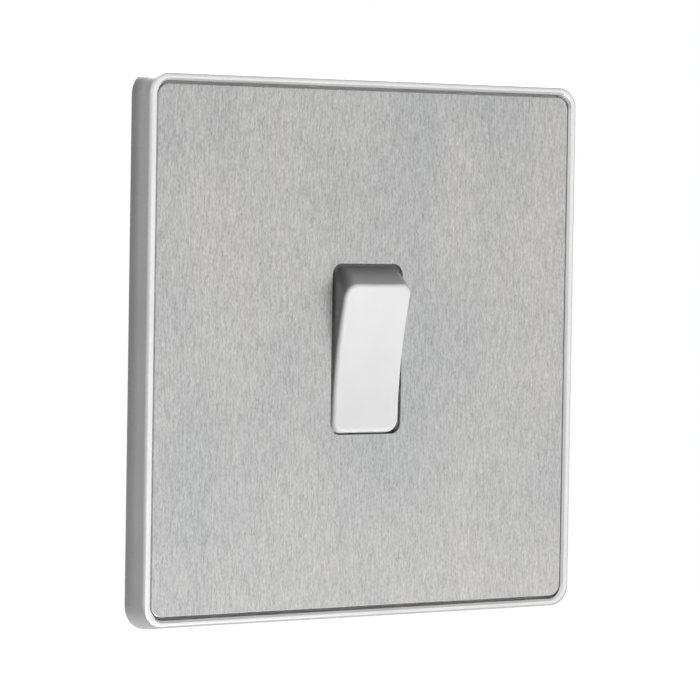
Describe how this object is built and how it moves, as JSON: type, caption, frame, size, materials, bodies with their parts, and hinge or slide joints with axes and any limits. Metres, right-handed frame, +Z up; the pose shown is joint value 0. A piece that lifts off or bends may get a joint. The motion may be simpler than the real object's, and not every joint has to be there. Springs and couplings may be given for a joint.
{
  "type": "intermediate light switch",
  "caption": "Square screwless wall plate with a brushed steel front, a silver rim and one white concave rocker, with a crossed double-pole mechanism behind it.",
  "frame": {"origin": "centre of the plate on the wall's surface, which is also the middle of the two fixing slots", "axes": "+X to the right seen from the front, +Y into the wall, +Z up"},
  "size_m": [0.095, 0.0292, 0.095],
  "materials": {
    "silver_plastic": "satin silver paint on a moulding",
    "brushed_steel": "fine vertical brushing",
    "zinc_steel": "bright zinc plate on pressed steel",
    "white_moulding": "white thermoset moulding",
    "grey_moulding": "off-white thermoset moulding",
    "white_rocker": "satin white",
    "plunger_plastic": "natural nylon",
    "spring_steel": "bright drawn wire",
    "copper": "rolled copper strip",
    "silver_contact": "silver alloy",
    "brass_strip": "pressed brass",
    "brass_clamp": "machined brass",
    "zinc_screw": "zinc plated"
  },
  "bodies": {
    "yoke_and_base": {"mounting_yoke": "zinc_steel", "rocker_housing": "white_moulding", "terminal_base": "grey_moulding", "pole_fork_left": "brass_strip", "pole_fork_right": "brass_strip", "cross_link_front": "brass_strip", "cross_link_rear": "brass_strip", "fixed_contact_tips": "silver_contact", "pole_terminal_left": "brass_clamp", "pole_terminal_right": "brass_clamp", "outlet_terminal_left": "brass_clamp", "outlet_terminal_right": "brass_clamp", "terminal_screws": "zinc_screw", "earth_screw": "zinc_screw", "module_screws": "zinc_screw", "earth_terminal": "brass_clamp"},
    "rocker": {"rocker": "white_rocker", "spring_left": "spring_steel", "spring_right": "spring_steel"},
    "plunger_left": {"plunger_left": "plunger_plastic"},
    "plunger_right": {"plunger_right": "plunger_plastic"},
    "bar_left": {"contact_bar_left": "copper", "contact_tips_left": "silver_contact"},
    "bar_right": {"contact_bar_right": "copper", "contact_tips_right": "silver_contact"},
    "front_cover": {"trim_frame": "silver_plastic", "steel_faceplate": "brushed_steel"}
  },
  "joints": [
    {"name": "rocker_tilt", "type": "hinge", "parent": "yoke_and_base", "child": "rocker", "pos_m": [0, 0.00435, 0], "axis": [1, 0, 0], "range_deg": [-16, 0]},
    {"name": "bar_left_rock", "type": "hinge", "parent": "yoke_and_base", "child": "bar_left", "pos_m": [0, 0.012, 0], "axis": [1, 0, 0], "range_deg": [0, 16]},
    {"name": "bar_right_rock", "type": "hinge", "parent": "yoke_and_base", "child": "bar_right", "pos_m": [0, 0.012, 0], "axis": [1, 0, 0], "range_deg": [0, 16]},
    {"name": "plunger_left_slide", "type": "slide", "parent": "rocker", "child": "plunger_left", "axis": [0, 0.9903, 0.1392], "range_m": [-0.0005, 0], "stiffness_N_per_m": 600, "springref_m": 0.001, "deforming": ["spring_left"]},
    {"name": "plunger_right_slide", "type": "slide", "parent": "rocker", "child": "plunger_right", "axis": [0, 0.9903, 0.1392], "range_m": [-0.0005, 0], "stiffness_N_per_m": 600, "springref_m": 0.001, "deforming": ["spring_right"]},
    {"name": "cover_clip", "type": "slide", "parent": "yoke_and_base", "child": "front_cover", "axis": [0, -1, 0], "range_m": [0, 0.03]}
  ],
  "couplings": [
    {"joint": "bar_left_rock", "follows": "rocker_tilt", "ratio": -1},
    {"joint": "bar_right_rock", "follows": "rocker_tilt", "ratio": -1}
  ]
}
